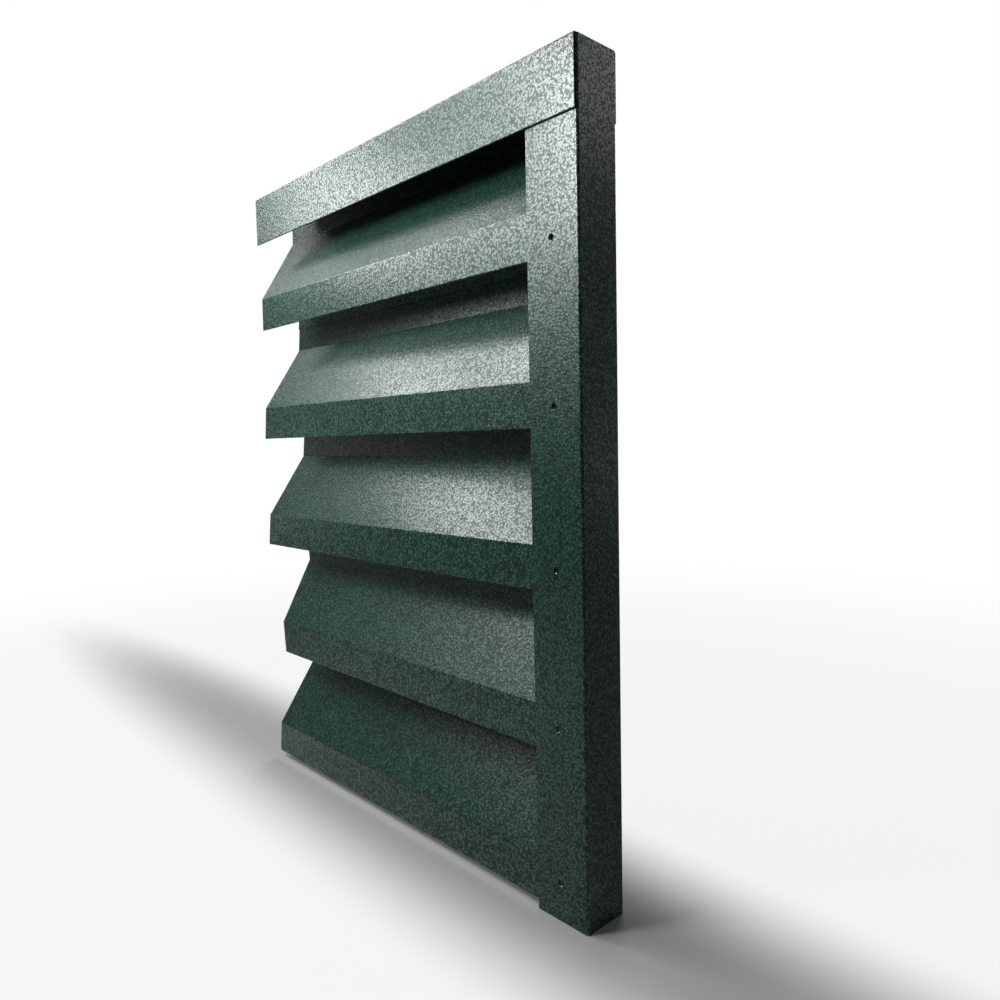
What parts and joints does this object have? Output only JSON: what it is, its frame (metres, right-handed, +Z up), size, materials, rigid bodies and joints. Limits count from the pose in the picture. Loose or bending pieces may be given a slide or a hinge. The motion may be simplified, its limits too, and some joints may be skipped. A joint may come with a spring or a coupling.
{
  "type": "louvred fence panel section with perforated u-profile",
  "caption": "Louvred fence panel section: a perforated U-profile end post carries folded horizontal slats under a folded cap.",
  "frame": {"origin": "middle of the panel's outline in plan, at the level of the U-profile's foot", "axes": "+X along the panel towards the U-profile's web, +Y from the slats' front lips to the back, +Z up"},
  "size_m": [0.402, 0.0392, 0.5346],
  "materials": {
    "structured_coating": "matt structured green coating with a fine wrinkle grain",
    "rivet_aluminium": "plain drawn aluminium",
    "mandrel_steel": "zinc plated"
  },
  "bodies": {
    "root": {"u_profile": "structured_coating", "top_cap": "structured_coating", "slat_1": "structured_coating", "slat_2": "structured_coating", "slat_3": "structured_coating", "slat_4": "structured_coating", "slat_5": "structured_coating", "rivet_1": "rivet_aluminium", "mandrel_1": "mandrel_steel", "rivet_2": "rivet_aluminium", "mandrel_2": "mandrel_steel", "rivet_3": "rivet_aluminium", "mandrel_3": "mandrel_steel", "rivet_4": "rivet_aluminium", "mandrel_4": "mandrel_steel", "rivet_5": "rivet_aluminium", "mandrel_5": "mandrel_steel"}
  },
  "joints": []
}
